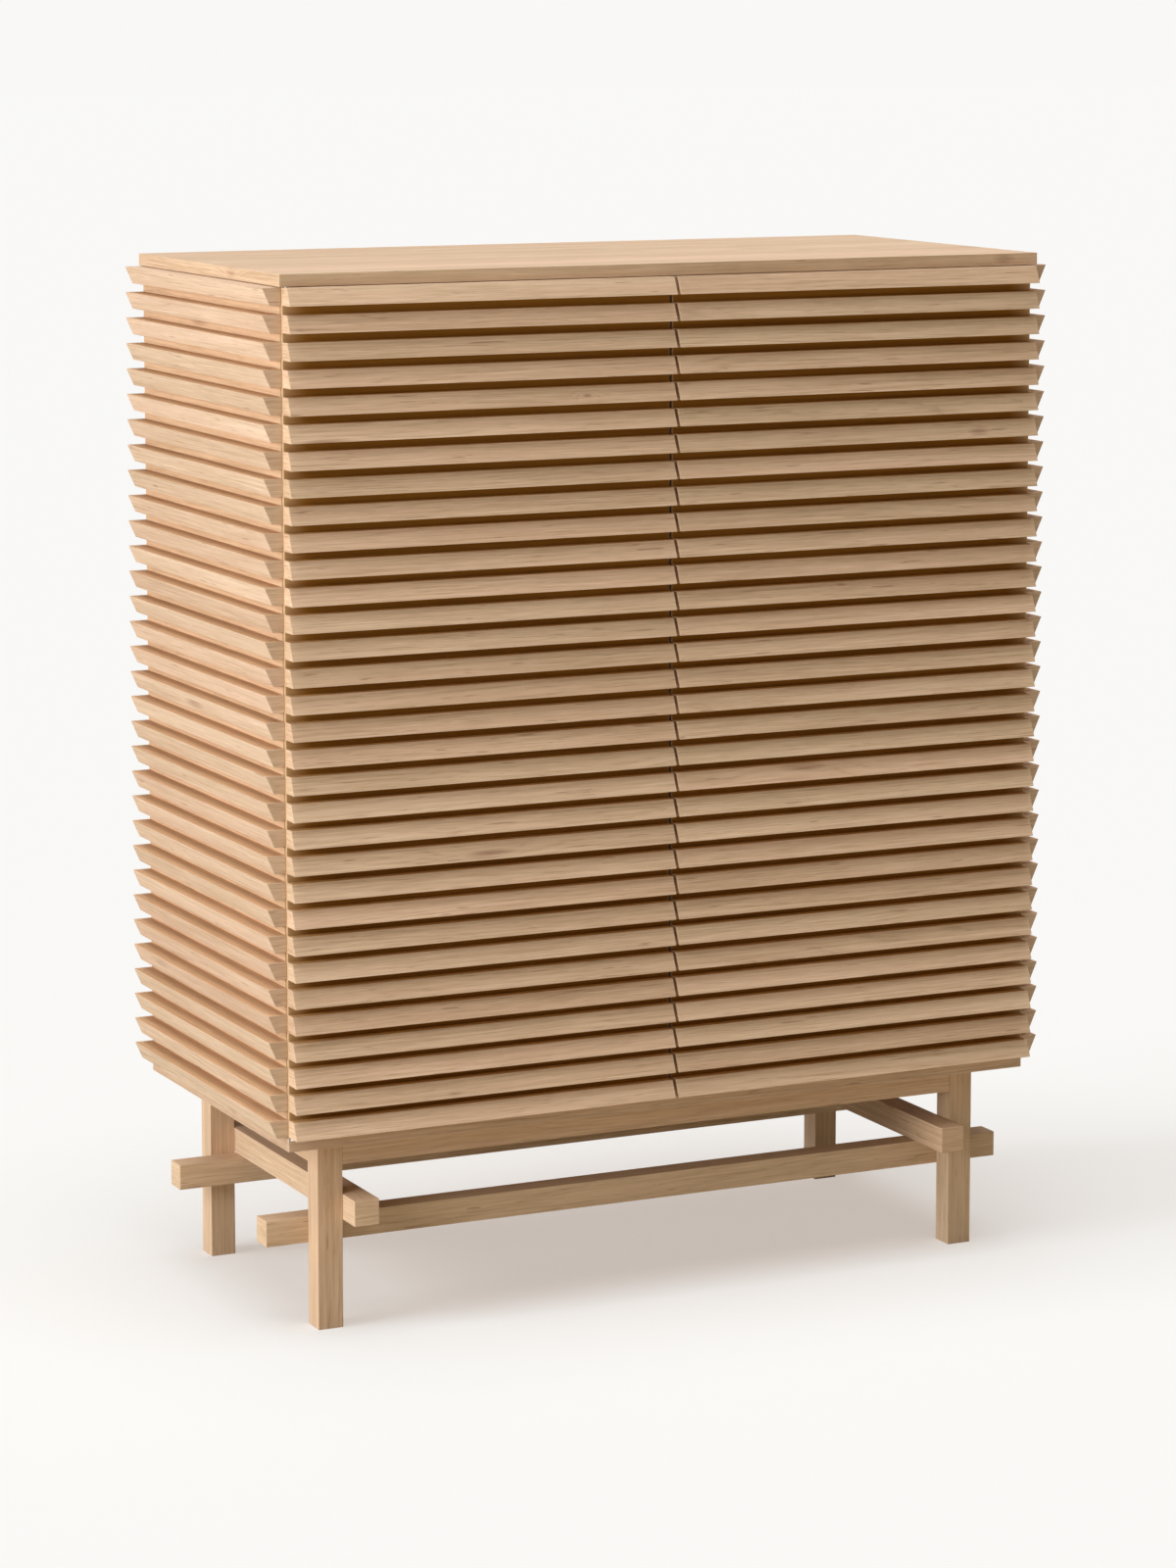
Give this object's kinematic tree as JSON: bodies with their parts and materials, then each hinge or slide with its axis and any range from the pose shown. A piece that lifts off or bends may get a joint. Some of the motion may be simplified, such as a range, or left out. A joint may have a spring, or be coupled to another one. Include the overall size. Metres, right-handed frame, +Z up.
{
  "type": "highboard",
  "caption": "Oak highboard with two slatted doors and slatted sides, adjustable shelves inside, on a frame of crossed square bars.",
  "frame": {"origin": "on the floor, in the middle of the object's outline seen from above", "axes": "+Z up, -Y out of the doors, +X to the right of someone facing the doors"},
  "size_m": [0.995, 0.46, 1.2016],
  "materials": {
    "oak_slat": "light natural oak, matt oiled",
    "oak_panel": "light natural oak, matt oiled",
    "oak_frame": "light natural oak, matt oiled",
    "steel": "zinc plated, satin",
    "plastic": "brown, matt"
  },
  "bodies": {
    "case": {"back_panel": "oak_panel", "bottom_panel": "oak_panel", "centre_partition": "oak_panel", "front_apron": "oak_frame", "front_left_leg": "oak_frame", "front_long_beam": "oak_frame", "front_right_leg": "oak_frame", "left_apron": "oak_frame", "left_lower_case_leaf": "steel", "left_lower_hinge_pin": "steel", "left_magnetic_catch": "plastic", "left_shelf_1": "oak_panel", "left_shelf_1_pin_inner_front": "steel", "left_shelf_1_pin_inner_rear": "steel", "left_shelf_1_pin_outer_front": "steel", "left_shelf_1_pin_outer_rear": "steel", "left_shelf_2": "oak_panel", "left_shelf_2_pin_inner_front": "steel", "left_shelf_2_pin_inner_rear": "steel", "left_shelf_2_pin_outer_front": "steel", "left_shelf_2_pin_outer_rear": "steel", "left_side_beam": "oak_frame", "left_side_panel": "oak_panel", "left_side_slat_board": "oak_slat", "left_upper_case_leaf": "steel", "left_upper_hinge_pin": "steel", "rear_apron": "oak_frame", "rear_left_leg": "oak_frame", "rear_long_beam": "oak_frame", "rear_right_leg": "oak_frame", "right_apron": "oak_frame", "right_lower_case_leaf": "steel", "right_lower_hinge_pin": "steel", "right_magnetic_catch": "plastic", "right_shelf_1": "oak_panel", "right_shelf_1_pin_inner_front": "steel", "right_shelf_1_pin_inner_rear": "steel", "right_shelf_1_pin_outer_front": "steel", "right_shelf_1_pin_outer_rear": "steel", "right_shelf_2": "oak_panel", "right_shelf_2_pin_inner_front": "steel", "right_shelf_2_pin_inner_rear": "steel", "right_shelf_2_pin_outer_front": "steel", "right_shelf_2_pin_outer_rear": "steel", "right_side_beam": "oak_frame", "right_side_panel": "oak_panel", "right_side_slat_board": "oak_slat", "right_upper_case_leaf": "steel", "right_upper_hinge_pin": "steel", "top_panel": "oak_panel"},
    "left_door": {"left_door_panel": "oak_panel", "left_door_slat_board": "oak_slat", "left_upper_door_leaf": "steel", "left_lower_door_leaf": "steel", "left_strike_plate": "steel"},
    "right_door": {"right_door_panel": "oak_panel", "right_door_slat_board": "oak_slat", "right_upper_door_leaf": "steel", "right_lower_door_leaf": "steel", "right_strike_plate": "steel"}
  },
  "joints": [
    {"name": "left_door_hinge", "type": "hinge", "parent": "case", "child": "left_door", "pos_m": [-0.471, -0.2098, 0.7118], "axis": [0, 0, -1], "range_deg": [0, 90]},
    {"name": "right_door_hinge", "type": "hinge", "parent": "case", "child": "right_door", "pos_m": [0.471, -0.2098, 0.7118], "axis": [0, 0, 1], "range_deg": [0, 90]}
  ]
}
